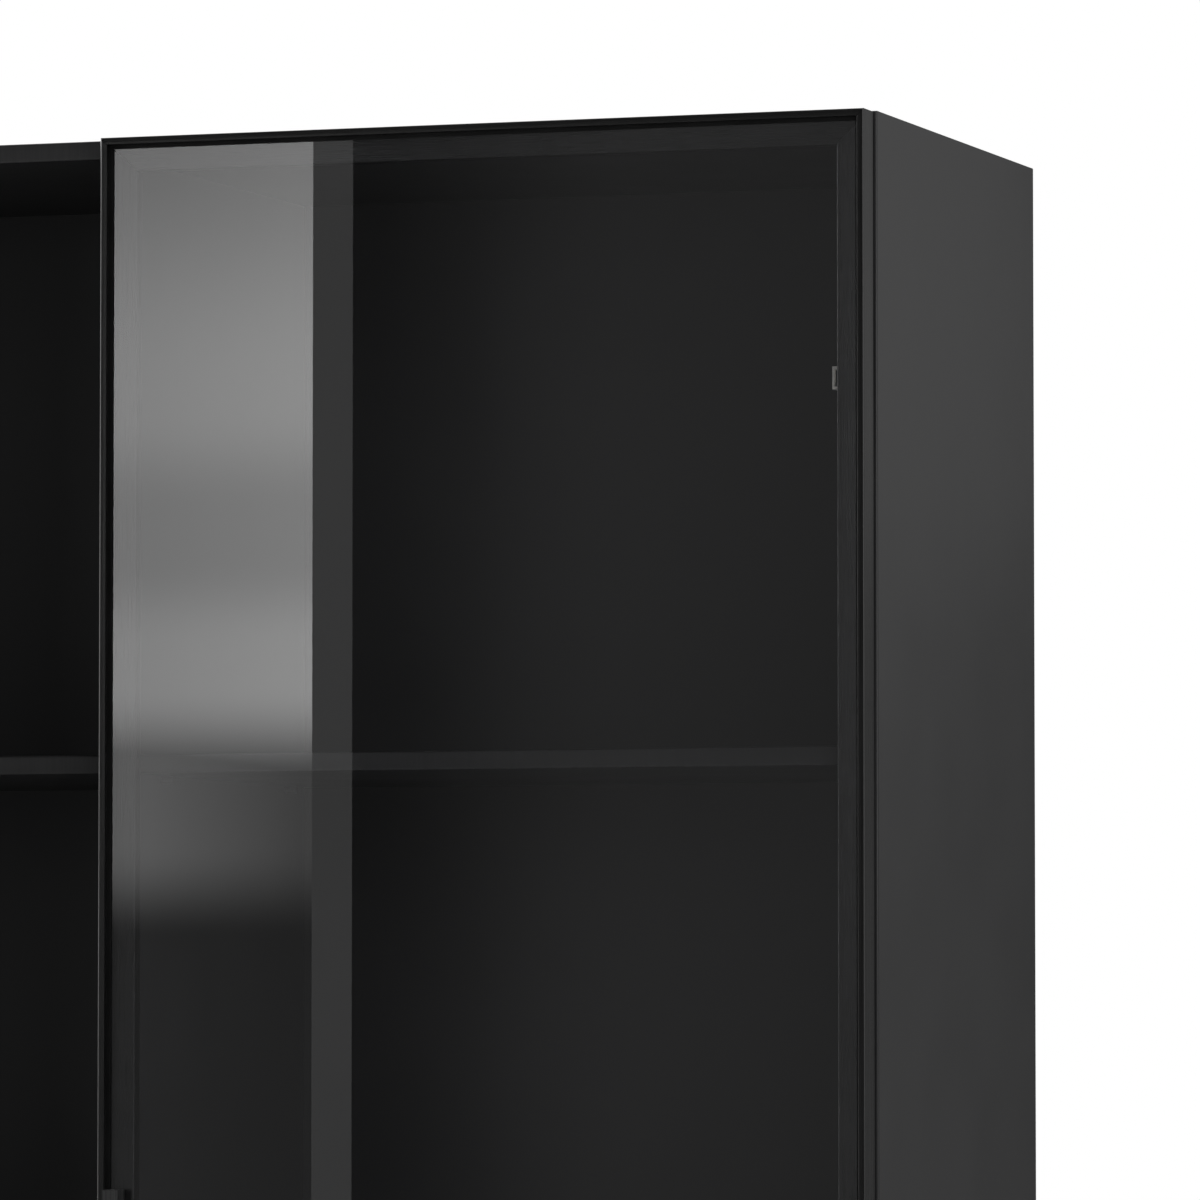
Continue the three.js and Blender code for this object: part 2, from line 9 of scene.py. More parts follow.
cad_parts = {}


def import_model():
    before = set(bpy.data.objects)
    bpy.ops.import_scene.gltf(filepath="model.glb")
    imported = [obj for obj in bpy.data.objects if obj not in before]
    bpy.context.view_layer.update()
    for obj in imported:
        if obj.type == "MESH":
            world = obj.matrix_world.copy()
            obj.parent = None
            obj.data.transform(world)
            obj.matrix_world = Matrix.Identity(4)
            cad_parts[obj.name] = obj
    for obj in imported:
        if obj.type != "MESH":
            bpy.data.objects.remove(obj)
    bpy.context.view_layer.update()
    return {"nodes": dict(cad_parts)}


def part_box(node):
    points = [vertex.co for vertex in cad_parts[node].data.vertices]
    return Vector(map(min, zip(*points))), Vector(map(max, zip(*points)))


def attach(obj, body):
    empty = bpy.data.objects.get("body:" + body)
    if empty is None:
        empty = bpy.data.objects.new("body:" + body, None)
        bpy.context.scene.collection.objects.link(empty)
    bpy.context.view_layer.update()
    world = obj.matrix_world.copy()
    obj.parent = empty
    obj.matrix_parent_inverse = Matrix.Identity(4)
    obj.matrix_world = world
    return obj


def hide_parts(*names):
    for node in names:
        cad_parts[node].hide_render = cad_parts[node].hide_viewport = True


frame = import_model()
nodes = frame["nodes"]

MM = 0.001

# ---------------------------------------------------------------- places from the frame

door_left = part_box("door_frame_left")[0].x
door_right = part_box("door_frame_right")[1].x
door_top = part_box("door_frame_top")[1].z
door_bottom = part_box("door_frame_bottom")[0].z
door_front, door_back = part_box("door_frame_left")[0].y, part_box("door_frame_left")[1].y
door_width = door_right - door_left
glass_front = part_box("door_glass")[0].y
carcass_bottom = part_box("bottom_panel")[0].z

BAND = 2.0 * MM              # thickness of the edge banding on the panels' front edges
BAND_ROUND = 1.7 * MM        # rounding of the banding's front edges

# ---------------------------------------------------------------- node helpers


class Graph:
    """A small wrapper that makes and links shader nodes."""

    def __init__(self, tree):
        self.tree = tree
        tree.nodes.clear()

    def node(self, kind, inputs=None, **settings):
        made = self.tree.nodes.new(kind)
        for key, value in settings.items():
            setattr(made, key, value)
        for key, value in (inputs or {}).items():
            if isinstance(value, bpy.types.NodeSocket):
                self.tree.links.new(value, made.inputs[key])
            else:
                made.inputs[key].default_value = value
        return made

    def place(self, scale=(1, 1, 1)):
        """Object coordinates in metres, stretched by scale."""
        coords = self.node("ShaderNodeTexCoord")
        return self.node(
            "ShaderNodeMapping", {"Vector": coords.outputs["Object"], "Scale": scale}
        ).outputs["Vector"]

    def noise(self, where, scale, detail=3.0, roughness=0.5):
        made = self.node(
            "ShaderNodeTexNoise",
            {"Vector": where, "Scale": scale, "Detail": detail, "Roughness": roughness},
        )
        return made.outputs["Fac"]

    def ramp(self, value, low, high, to_low=0.0, to_high=1.0, smooth=False):
        made = self.node(
            "ShaderNodeMapRange",
            {
                "Value": value,
                "From Min": low,
                "From Max": high,
                "To Min": to_low,
                "To Max": to_high,
            },
            interpolation_type="SMOOTHSTEP" if smooth else "LINEAR",
        )
        return made.outputs["Result"]

    def math(self, operation, a, b):
        return self.node("ShaderNodeMath", {0: a, 1: b}, operation=operation).outputs[0]

    def mix_colour(self, factor, dark, light):
        made = self.node("ShaderNodeMix", data_type="RGBA")
        made.inputs[0].default_value = 0.5
        self.tree.links.new(factor, made.inputs[0])
        made.inputs[6].default_value = (*dark, 1)
        made.inputs[7].default_value = (*light, 1)
        return made.outputs[2]

    def bump(self, height, strength, distance):
        return self.node(
            "ShaderNodeBump",
            {"Height": height, "Strength": strength, "Distance": distance},
        ).outputs["Normal"]

    def principled(self, colour, roughness, normal=None, **plain):
        inputs = {"Base Color": colour, "Roughness": roughness}
        if normal is not None:
            inputs["Normal"] = normal
        for key, value in plain.items():
            inputs[key.replace("_", " ")] = value
        shader = self.node("ShaderNodeBsdfPrincipled", inputs)
        return self.finish(shader.outputs[0])

    def finish(self, shader):
        self.node("ShaderNodeOutputMaterial", {"Surface": shader})


def material(name):
    made = bpy.data.materials.new(name)
    made.use_nodes = True
    return made, Graph(made.node_tree)


# ---------------------------------------------------------------- materials


def laminate(name, dark, light, gloss=0.40, specular=0.5):
    """Satin melamine: a fine pearl of about half a millimetre, and faint broad mottling."""
    made, g = material(name)
    where = g.place()
    pearl = g.noise(where, 1900, 4.0, 0.6)
    mottle = g.noise(where, 14, 3.0)
    colour = g.mix_colour(g.ramp(mottle, 0.3, 0.7), dark, light)
    speck = g.ramp(g.noise(where, 5200, 2.0), 0.62, 0.80)
    even = g.ramp(mottle, 0.2, 0.8, gloss - 0.03, gloss + 0.03)
    worn = g.math("ADD", even, g.math("MULTIPLY", speck, 0.05))
    normal = g.bump(pearl, 0.10, 0.15 * MM)
    g.principled(colour, worn, normal, Specular_IOR_Level=specular)
    return made


def edge_banding(name):
    """ABS edging: smoother than the board, with faint drawn lines along it."""
    made, g = material(name)
    lines = g.noise(g.place((900, 900, 9)), 1.0, 2.0)
    colour = g.mix_colour(g.ramp(lines, 0.3, 0.7), (0.0115, 0.0115, 0.012), (0.017, 0.017, 0.0175))
    normal = g.bump(lines, 0.08, 0.1 * MM)
    g.principled(colour, g.ramp(lines, 0.3, 0.7, 0.33, 0.42), normal, Specular_IOR_Level=0.32)
    return made


def anodised(name, stretch, dark=0.0035, light=0.0075, specular=0.42):
    """Black anodised aluminium, with brushing along the profile."""
    made, g = material(name)
    brushed = g.noise(g.place(stretch), 1.0, 4.0, 0.65)
    cloud = g.noise(g.place(), 22, 2.0)
    colour = g.mix_colour(g.ramp(brushed, 0.3, 0.7), (dark,) * 3, (light,) * 3)
    along = g.ramp(brushed, 0.3, 0.7, 0.24, 0.33)
    roughness = g.math("ADD", along, g.ramp(cloud, 0.3, 0.7, -0.02, 0.02))
    g.principled(colour, roughness, g.bump(brushed, 0.05, 0.05 * MM), Specular_IOR_Level=specular)
    return made


def smoked_glass():
    """Grey float glass with one mirroring face, which gives single, clean reflections."""
    made, g = material("smoked_glass")
    facing = g.node("ShaderNodeLayerWeight", {"Blend": 0.5}).outputs["Facing"]
    grazing = g.math("POWER", facing, 5.0)
    where = g.place()
    depth = g.node("ShaderNodeSeparateXYZ", {0: where}).outputs["Y"]
    on_front = g.math("LESS_THAN", depth, glass_front + 1 * MM)
    share = g.math("MULTIPLY", g.ramp(grazing, 0.0, 1.0, 0.084, 1.0), on_front)
    haze = g.noise(where, 60, 3.0)
    mirror = g.node(
        "ShaderNodeBsdfGlossy",
        {"Color": (1, 1, 1, 1), "Roughness": g.ramp(haze, 0.45, 0.75, 0.0, 0.0015)},
    )
    tint = g.mix_colour(haze, (0.925, 0.928, 0.935), (0.935, 0.938, 0.945))
    clear = g.node("ShaderNodeBsdfTransparent", {"Color": tint})
    mixed = g.node("ShaderNodeMixShader", {0: share, 1: clear.outputs[0], 2: mirror.outputs[0]})
    g.finish(mixed.outputs[0])
    return made


def plated(name, dark, light, grain):
    """Plated steel: a fine crystalline grain and small changes in gloss."""
    made, g = material(name)
    marks = g.noise(g.place(), grain, 4.0, 0.6)
    spots = g.noise(g.place(), 240, 3.0)
    colour = g.mix_colour(g.ramp(marks, 0.3, 0.7), dark, light)
    even = g.ramp(marks, 0.3, 0.7, 0.30, 0.42)
    roughness = g.math("ADD", even, g.ramp(spots, 0.4, 0.7, 0.0, 0.06))
    g.principled(colour, roughness, g.bump(marks, 0.10, 0.05 * MM), Metallic=1.0)
    return made


def moulded(name, dark, light, roughness, grain, specular=0.4):
    """Moulded plastic or rubber with a fine spark-eroded grain."""
    made, g = material(name)
    where = g.place()
    texture = g.noise(where, grain, 4.0, 0.7)
    cloud = g.noise(where, 45, 2.0)
    colour = g.mix_colour(g.ramp(cloud, 0.3, 0.7), dark, light)
    g.principled(
        colour,
        g.ramp(texture, 0.3, 0.7, roughness - 0.06, roughness + 0.06),
        g.bump(texture, 0.25, 0.1 * MM),
        Specular_IOR_Level=specular,
    )
    return made


BLACK = laminate("black_laminate", (0.0200, 0.0200, 0.0206), (0.0250, 0.0250, 0.0256))
BACK = laminate("black_back_board", (0.0150, 0.0150, 0.0155), (0.0190, 0.0190, 0.0195), 0.5, 0.4)
BANDING = edge_banding("black_edge_banding")
ANODISED_UPRIGHT = anodised("black_anodised_upright", (2600, 2600, 14))
ANODISED_ACROSS = anodised("black_anodised_across", (14, 2600, 2600))
ANODISED_PULL = anodised("black_anodised_pull", (2600, 2600, 14), 0.020, 0.028, 0.6)
GLASS = smoked_glass()
NICKEL = plated("nickel_plate", (0.62, 0.60, 0.56), (0.76, 0.74, 0.70), 900)
ZINC = plated("zinc_plate", (0.54, 0.55, 0.57), (0.63, 0.64, 0.66), 380)
PLASTIC = moulded("black_plastic", (0.014, 0.014, 0.0145), (0.020, 0.020, 0.0205), 0.50, 2200)
RUBBER = moulded("black_rubber", (0.004, 0.004, 0.004), (0.007, 0.007, 0.007), 0.66, 1500, 0.12)
CLEAR_RUBBER = moulded("clear_bumper", (0.50, 0.51, 0.51), (0.60, 0.61, 0.61), 0.35, 700)

# ---------------------------------------------------------------- piece helpers


def piece(name, bm, finish, body, slot, *stands_for, smooth_degrees=35):
    """A new object from bm that rides on a CAD body."""
    mesh = bpy.data.meshes.new(name)
    bmesh.ops.recalc_face_normals(bm, faces=bm.faces)
    bm.to_mesh(mesh)
    bm.free()
    mesh.materials.append(finish)
    mesh.shade_smooth()
    mesh.set_sharp_from_angle(angle=math.radians(smooth_degrees))
    made = bpy.data.objects.new(name, mesh)
    bpy.context.scene.collection.objects.link(made)
    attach(made, body)
    if stands_for:
        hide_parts(*stands_for)
    return made


def slab(low, high, radius, front_only=False, segments=3):
    """A board between two corners, with all its edges eased, or only those of its front."""
    bm = bmesh.new()
    bmesh.ops.create_cube(bm, size=1.0)
    size = [h - l for l, h in zip(low, high)]
    middle = [(l + h) / 2 for l, h in zip(low, high)]
    bmesh.ops.scale(bm, vec=size, verts=bm.verts)
    bmesh.ops.translate(bm, vec=middle, verts=bm.verts)
    eased = [
        edge
        for edge in bm.edges
        if not front_only or all(abs(vert.co.y - low[1]) < 1e-6 for vert in edge.verts)
    ]
    bmesh.ops.bevel(
        bm,
        geom=eased,
        offset=radius,
        segments=segments,
        profile=0.5,
        affect="EDGES",
        clamp_overlap=True,
    )
    return bm


def turned(profile, centre, axis, segments=32):
    """A turned solid. profile holds (radius, distance along axis, sides): sides is 0 for a
    round ring, or 6 for a ring with six flats."""
    bm = bmesh.new()
    rings = []
    for radius, along, sides in profile:
        if radius == 0:
            rings.append([bm.verts.new((0, 0, along))])
            continue
        ring = []
        for i in range(segments):
            angle = 2 * math.pi * i / segments
            reach = radius
            if sides:
                wedge = math.pi / sides
                reach = radius * math.cos(wedge) / math.cos((angle % (2 * wedge)) - wedge)
            ring.append(bm.verts.new((reach * math.cos(angle), reach * math.sin(angle), along)))
        rings.append(ring)
    for lower, upper in zip(rings, rings[1:]):
        for i in range(segments):
            j = (i + 1) % segments
            corners = [lower[i % len(lower)], lower[j % len(lower)]]
            corners += [upper[j % len(upper)], upper[i % len(upper)]]
            unique = list(dict.fromkeys(corners))
            bm.faces.new(unique)
    turn = Vector((0, 0, 1)).rotation_difference(Vector(axis)).to_matrix().to_4x4()
    bmesh.ops.transform(bm, matrix=Matrix.Translation(centre) @ turn, verts=bm.verts)
    return bm


def middle_of(node):
    low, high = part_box(node)
    return (low + high) / 2


def dress(name, finish, radius=0.0, segments=2):
    """Gives a CAD node its finish, and eases its sharp edges by radius."""
    thing = nodes[name]
    for slot in thing.material_slots:
        slot.material = finish
    if radius:
        flat = thing.modifiers.new("merge_flat_faces", "DECIMATE")
        flat.decimate_type = "DISSOLVE"
        flat.angle_limit = math.radians(1.0)
        ease = thing.modifiers.new("eased_edges", "BEVEL")
        ease.width = radius
        ease.segments = segments
        ease.limit_method = "ANGLE"
        ease.angle_limit = math.radians(35)


# ---------------------------------------------------------------- carcass


def banded_board(node, slot="black_laminate"):
    """A board with a thin band of edging on its front edge."""
    low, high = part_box(node)
    seam = low.y + BAND
    core = slab((low.x, seam, low.z), high, 0.35 * MM)
    piece(f"{node}_board", core, BLACK, "root", slot, node)
    band = slab(low, (high.x, seam, high.z), BAND_ROUND, front_only=True)
    piece(f"{node}_edging", band, BANDING, "root", slot)


def carcass():
    for node in ("side_panel_left", "side_panel_right", "top_panel", "bottom_panel"):
        banded_board(node)
    for node in ("centre_divider", "shelf_left", "shelf_right"):
        banded_board(node)
    dress("back_panel", BACK)


def shelf_pin(node, inward):
    """A black pin with a rounded nose and a small collar against the panel."""
    low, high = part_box(node)
    radius = (high.z - low.z) / 2
    length = high.x - low.x
    half = length / 2
    collar = radius + 0.05 * MM
    start = Vector((low.x if inward > 0 else high.x, *middle_of(node).yz))
    profile = [
        (0, 0, 0),
        (radius - 0.4 * MM, 0, 0),
        (radius, 0.4 * MM, 0),
        (radius, half, 0),
        (collar, half, 0),
        (collar, half + 0.8 * MM, 0),
        (radius, half + 0.8 * MM, 0),
        (radius, length - 0.9 * MM, 0),
        (radius - 0.35 * MM, length - 0.3 * MM, 0),
        (radius - 1.0 * MM, length, 0),
        (0, length, 0),
    ]
    pin = turned(profile, start, (inward, 0, 0))
    piece(node.replace("shelf_pin", "pin"), pin, PLASTIC, "root", "black_plastic", node)


def shelf_pins():
    for bay in ("left", "right"):
        for side, inward in (("left", 1), ("right", -1)):
            for row in ("front", "rear"):
                shelf_pin(f"shelf_pin_{bay}_bay_{side}_{row}", inward)


def door_bumpers():
    """Domed soft pads on the divider's front edge."""
    for place in ("upper", "lower"):
        node = f"door_bumper_{place}"
        low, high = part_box(node)
        radius = (high.x - low.x) / 2
        depth = high.y - low.y
        start = Vector((middle_of(node).x, high.y, middle_of(node).z))
        profile = [(0, 0, 0), (radius, 0, 0), (radius, depth * 0.35, 0)]
        for i in range(1, 7):
            angle = math.pi / 2 * i / 6
            profile.append((radius * math.cos(angle), depth * (0.35 + 0.65 * math.sin(angle)), 0))
        profile[-1] = (0, depth, 0)
        pad = turned(profile, start, (0, -1, 0))
        piece(f"bumper_{place}", pad, CLEAR_RUBBER, "root", "bumper_rubber", node)


# ---------------------------------------------------------------- hanging hardware


def screw_head(radius, height, socket):
    """Profile of a low domed head, from its seat outwards, with a six-sided socket."""
    return [
        (radius, 0, 0),
        (radius, height * 0.35, 0),
        (radius * 0.93, height * 0.7, 0),
        (radius * 0.74, height * 0.95, 0),
        (socket + 0.35 * MM, height, 0),
        (socket, height, 6),
        (socket * 0.96, height * 0.35, 6),
        (0, height * 0.3, 0),
    ]


def hanging_hardware():
    dress("wall_rail", ZINC)
    for side in ("left", "right"):
        dress(f"hanger_housing_{side}", PLASTIC, 0.6 * MM)
        dress(f"hanger_hook_{side}", ZINC, 0.4 * MM)
        dress(f"hanger_cap_{side}", PLASTIC, 0.5 * MM, 3)
        for use in ("height", "depth"):
            dress(f"hanger_{use}_screw_{side}", ZINC, 0.2 * MM)


RAIL_HOLES_X = (-0.4, -0.2, 0.2, 0.4)
RAIL_HOLES_Z = -0.010
RAIL_SHEET = 2 * MM
WASHER = 0.9 * MM               # thickness of a washer
SCREW_SHANK = 2.4 * MM          # radius of a screw's shank
SCREW_SINK = 1.9 * MM           # how far a shank goes into the rail


def rail_screws():
    """Pan-head screws in the rail's four holes, with their washers."""
    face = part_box("wall_rail")[1].y - RAIL_SHEET
    washer = [
        (2.8 * MM, 0, 0),
        (6 * MM, 0, 0),
        (6 * MM, WASHER, 0),
        (2.8 * MM, WASHER, 0),
        (2.8 * MM, 0, 0),
    ]
    seated = WASHER + 0.05 * MM
    shank = [(0, -SCREW_SINK, 0), (SCREW_SHANK, -SCREW_SINK, 0), (SCREW_SHANK, seated, 0)]
    head = [(r, t + seated, s) for r, t, s in screw_head(4.6 * MM, 3 * MM, 2 * MM)]
    for i, x in enumerate(RAIL_HOLES_X):
        seat = Vector((x, face, RAIL_HOLES_Z))
        ring = turned(washer, seat, (0, -1, 0))
        piece(f"rail_washer_{i + 1}", ring, ZINC, "root", "zinc_steel")
        screw = turned(shank + head, seat, (0, -1, 0))
        piece(f"rail_screw_{i + 1}", screw, ZINC, "root", "zinc_steel")


# ---------------------------------------------------------------- door


# The profile's section: u runs inwards over the door's face, v runs back from its front.
# Each corner has the radius of its rounding.
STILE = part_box("door_frame_left")[1].x - door_left
TUBE_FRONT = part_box("door_glass")[1].y + 0.3 * MM - door_front
LIP = 4.3 * MM
LIP_DEPTH = 4.6 * MM
WEB = 1.8 * MM
PROFILE = (
    (0, 0, 1.1 * MM),
    (LIP, 0, 0.25 * MM),
    (LIP, LIP_DEPTH, 0.2 * MM),
    (WEB, LIP_DEPTH, 0.2 * MM),
    (WEB, TUBE_FRONT, 0.2 * MM),
    (STILE, TUBE_FRONT, 1.1 * MM),
    (STILE, door_back - door_front, 0.4 * MM),
    (0, door_back - door_front, 0.4 * MM),
)
MITRE_GAP = 0.15 * MM


def rounded(corners, steps=4):
    """The outline through corners, each (u, v, radius), with arcs at its right angles."""
    outline = []
    for i, (u, v, radius) in enumerate(corners):
        here = Vector((u, v))
        before = Vector(corners[i - 1][:2]) - here
        after = Vector(corners[(i + 1) % len(corners)][:2]) - here
        a, b = before.normalized() * radius, after.normalized() * radius
        centre = here + a + b
        for step in range(steps + 1):
            angle = math.pi / 2 * step / steps
            outline.append(centre - b * math.cos(angle) - a * math.sin(angle))
    return outline


def frame_strip(side, finish):
    """One side of the door's frame, cut to a mitre at both ends."""
    left, right = door_left, door_right
    corner, inward, along, length = {
        "left": ((left, door_front, door_bottom), (1, 0, 0), (0, 0, 1), door_top - door_bottom),
        "right": ((right, door_front, door_bottom), (-1, 0, 0), (0, 0, 1), door_top - door_bottom),
        "top": ((left, door_front, door_top), (0, 0, -1), (1, 0, 0), right - left),
        "bottom": ((left, door_front, door_bottom), (0, 0, 1), (1, 0, 0), right - left),
    }[side]
    corner, inward, along = Vector(corner), Vector(inward), Vector(along)
    bm = bmesh.new()
    ends = []
    for far in (False, True):
        ring = []
        for u, v in rounded(PROFILE):
            inset = u + MITRE_GAP
            run = length - inset if far else inset
            ring.append(bm.verts.new(corner + inward * u + Vector((0, v, 0)) + along * run))
        ends.append(ring)
    count = len(ends[0])
    for i in range(count):
        j = (i + 1) % count
        bm.faces.new((ends[0][i], ends[0][j], ends[1][j], ends[1][i]))
    for ring in ends:
        bm.faces.new(ring)
    bmesh.ops.triangulate(bm, faces=[face for face in bm.faces if len(face.verts) > 4])
    node = f"door_frame_{side}"
    piece(f"frame_profile_{side}", bm, finish, "door", "black_aluminium", node)


def door():
    for side in ("left", "right"):
        frame_strip(side, ANODISED_UPRIGHT)
        dress(f"door_gasket_{side}", RUBBER)
    for side in ("top", "bottom"):
        frame_strip(side, ANODISED_ACROSS)
        dress(f"door_gasket_{side}", RUBBER)
    dress("door_glass", GLASS)
    dress("handle", ANODISED_PULL, 0.5 * MM, 4)
    for corner in ("top_left", "top_right", "bottom_left", "bottom_right"):
        dress(f"corner_cleat_{corner}", ZINC, 0.3 * MM)
    for place in ("upper", "lower"):
        dress(f"handle_screw_{place}", ZINC, 0.2 * MM)


# ---------------------------------------------------------------- hinges


def hinges():
    for level in ("upper", "lower"):
        for part in ("plate", "arm", "arm_link", "cup_link", "bracket"):
            dress(f"hinge_{level}_{part}", NICKEL, 0.25 * MM)
        for place in ("top", "bottom"):
            dress(f"hinge_{level}_plate_screw_{place}", NICKEL, 0.15 * MM)


BRACKET_SCREW_SPREAD = 11 * MM  # from the bracket's middle, up and down
BRACKET_SCREW_INSET = 4.5 * MM
BRACKET_FLANGE = 2.5 * MM       # thickness of the bracket on the frame


def bracket_screws():
    """Two small screws that hold each hinge bracket to the door's frame."""
    shank = [(0, -1 * MM, 0), (1.6 * MM, -1 * MM, 0), (1.6 * MM, 0, 0)]
    profile = shank + screw_head(3 * MM, 1.6 * MM, 1.2 * MM)
    for level in ("upper", "lower"):
        node = f"hinge_{level}_bracket"
        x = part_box(node)[1].x - BRACKET_SCREW_INSET
        for place, side in (("top", 1), ("bottom", -1)):
            z = middle_of(node).z + side * BRACKET_SCREW_SPREAD
            seat = Vector((x, door_back + BRACKET_FLANGE, z))
            head = turned(profile, seat, (0, 1, 0), 24)
            piece(f"bracket_screw_{level}_{place}", head, NICKEL, "door", "nickel_steel")


# ---------------------------------------------------------------- stage

# The camera, from the door's top left front corner, in door widths and degrees.
CAMERA_PLACE = (3.8681, -9.2869, -1.1303)
CAMERA_YAW = 19.044
CAMERA_PITCH = 3.139
LENS = 241.6
SENSOR = 36.0


def camera():
    data = bpy.data.cameras.new("camera")
    data.lens = LENS
    data.sensor_width = SENSOR
    made = bpy.data.objects.new("camera", data)
    corner = Vector((door_left, door_front, door_top))
    made.location = corner + Vector(CAMERA_PLACE) * door_width
    made.rotation_euler = (math.radians(90 + CAMERA_PITCH), 0, math.radians(CAMERA_YAW))
    data.clip_end = 200
    bpy.context.scene.collection.objects.link(made)
    bpy.context.scene.camera = made
    return made


def stage_object(name, bm, finish):
    """A floor or card made from bm, which isn't part of the cabinet."""
    mesh = bpy.data.meshes.new(name)
    bm.to_mesh(mesh)
    bm.free()
    mesh.materials.append(finish)
    made = bpy.data.objects.new(name, mesh)
    bpy.context.scene.collection.objects.link(made)
    return made


HANG_HEIGHT = 1.45              # the cabinet's underside above the floor
FLOOR_REACH = 40.0
FLOOR_GLOW = (0.03, 0.50)       # to the object and its light, and to the camera


def floor():
    """A plain pale floor, which the camera sees nearly white."""
    bm = bmesh.new()
    bmesh.ops.create_grid(bm, x_segments=8, y_segments=8, size=FLOOR_REACH)
    finish, g = material("pale_floor")
    tone = g.mix_colour(g.noise(g.place(), 0.8, 2.0), (0.80, 0.80, 0.80), (0.84, 0.84, 0.84))
    seen = g.node("ShaderNodeLightPath").outputs["Is Camera Ray"]
    glow = g.ramp(seen, 0.0, 1.0, *FLOOR_GLOW)
    g.principled(tone, 0.7, Emission_Color=(1, 1, 1, 1), Emission_Strength=glow)
    made = stage_object("floor", bm, finish)
    made.location = (0, 0, carcass_bottom - HANG_HEIGHT)


WORLD_FRONT = 0.05
WORLD_BACK = 0.33
WORLD_UP = 0.10


def world():
    """A white backdrop for the camera. What the object mirrors is darker in front of it."""
    scene = bpy.context.scene
    scene.world = bpy.data.worlds.new("studio")
    scene.world.use_nodes = True
    g = Graph(scene.world.node_tree)
    coords = g.node("ShaderNodeTexCoord")
    direction = g.node("ShaderNodeSeparateXYZ", {0: coords.outputs["Generated"]})
    back = g.ramp(direction.outputs["Y"], -0.35, 0.75, 0.0, 1.0, smooth=True)
    up = g.ramp(direction.outputs["Z"], -0.2, 0.9, 0.0, 1.0, smooth=True)
    level = g.math("ADD", g.math("MULTIPLY", back, WORLD_BACK), g.math("MULTIPLY", up, WORLD_UP))
    level = g.math("ADD", level, WORLD_FRONT)
    dim = g.node("ShaderNodeBackground", {"Color": (1, 1, 1, 1), "Strength": level})
    white = g.node("ShaderNodeBackground", {"Color": (1, 1, 1, 1), "Strength": 1.0})
    ray = g.node("ShaderNodeLightPath").outputs["Is Camera Ray"]
    mixed = g.node("ShaderNodeMixShader", {0: ray, 1: dim.outputs[0], 2: white.outputs[0]})
    g.node("ShaderNodeOutputWorld", {"Surface": mixed.outputs[0]})


def area_light(name, place, aim, size, power, mirrored=True):
    data = bpy.data.lights.new(name, "AREA")
    data.shape = "RECTANGLE"
    data.size, data.size_y = size
    data.energy = power
    made = bpy.data.objects.new(name, data)
    made.location = place
    toward = Vector(aim) - Vector(place)
    made.rotation_euler = toward.to_track_quat("-Z", "Y").to_euler()
    made.visible_camera = False
    made.visible_glossy = mirrored
    bpy.context.scene.collection.objects.link(made)


def lights():
    area_light("front_softbox", (3.0, -4.2, 0.6), (0, -0.1, -0.3), (2.4, 2.4), 95, False)
    area_light("right_softbox", (3.6, -0.9, 0.7), (0.4, -0.1, -0.3), (1.4, 2.2), 12)


# Studio cards that only show as reflections. Each is given by the stretch of the door's glass
# that mirrors it to the camera, in shares of the door's width and height.
CARD_REACH = 3.0
CARD_ENDS = (-0.01, 1.02)       # the cards' top and bottom
BAND_START = 0.281              # where the bright strip ends and the dim band starts
FIELD_START = 0.334


def card_point(x, z, viewer):
    """Where the camera's line of sight, mirrored in the glass at x, z, meets the cards."""
    seen = Vector((viewer.x, 2 * glass_front - viewer.y, viewer.z))
    spot = Vector((x, glass_front, z))
    ray = spot - seen
    return spot + ray * (CARD_REACH / -ray.y)


def emission(g, strength):
    """White light of the given strength from a card's surface."""
    glow = g.node("ShaderNodeEmission", {"Color": (1, 1, 1, 1), "Strength": strength})
    g.finish(glow.outputs[0])


def mirrored_only(made):
    """Keeps a card out of sight except where something glossy mirrors it."""
    for ray in ("camera", "diffuse", "transmission", "shadow", "volume_scatter"):
        setattr(made, f"visible_{ray}", False)


def reflected_card(name, viewer, left, right, levels):
    """A card over the door's whole height, lit by levels(graph, share across, share down)."""
    height = door_top - door_bottom
    top, bottom = CARD_ENDS
    x0, x1 = door_left + left * door_width, door_left + right * door_width
    z0, z1 = door_top - bottom * height, door_top - top * height
    bm = bmesh.new()
    corners = [(x0, z0), (x1, z0), (x1, z1), (x0, z1)]
    face = bm.faces.new([bm.verts.new(card_point(x, z, viewer)) for x, z in corners])
    uv = bm.loops.layers.uv.new("card")
    shares = ((0, bottom), (1, bottom), (1, top), (0, top))
    for loop, place in zip(face.loops, shares):
        loop[uv].uv = place
    finish, g = material(name)
    coords = g.node("ShaderNodeTexCoord")
    share = g.node("ShaderNodeSeparateXYZ", {0: coords.outputs["UV"]})
    emission(g, levels(g, share.outputs["X"], share.outputs["Y"]))
    mirrored_only(stage_object(name, bm, finish))


# The tall softbox that the glass mirrors. Places down it are shares of the door's height from
# the door's top, and pairs of levels are for the softbox's left and right.
SOFTBOX_PEAK = (2.4, 2.9)
SOFTBOX_CROWN = 0.62            # share of the peak that its top edge has
SOFTBOX_CROWN_END = 0.20
WAIST_DIP = 0.27                # share of the peak that the waist loses
WAIST_FALL = (0.22, 0.30)
WAIST_RISE = (0.34, 0.41)
SOFTBOX_END = (0.44, 0.53)
FOOT_LEVEL = (0.92, 0.40)
FOOT_END = (0.565, 0.64)
STUDIO_DARK = 0.14
SOFTBOX_TURN = (0.36, 0.95)     # where the left level turns into the right one, across the card

DIM_BAND_LEVEL = 0.37
FIELD_LEVELS = (0.045, 0.155)
FIELD_END = 0.55


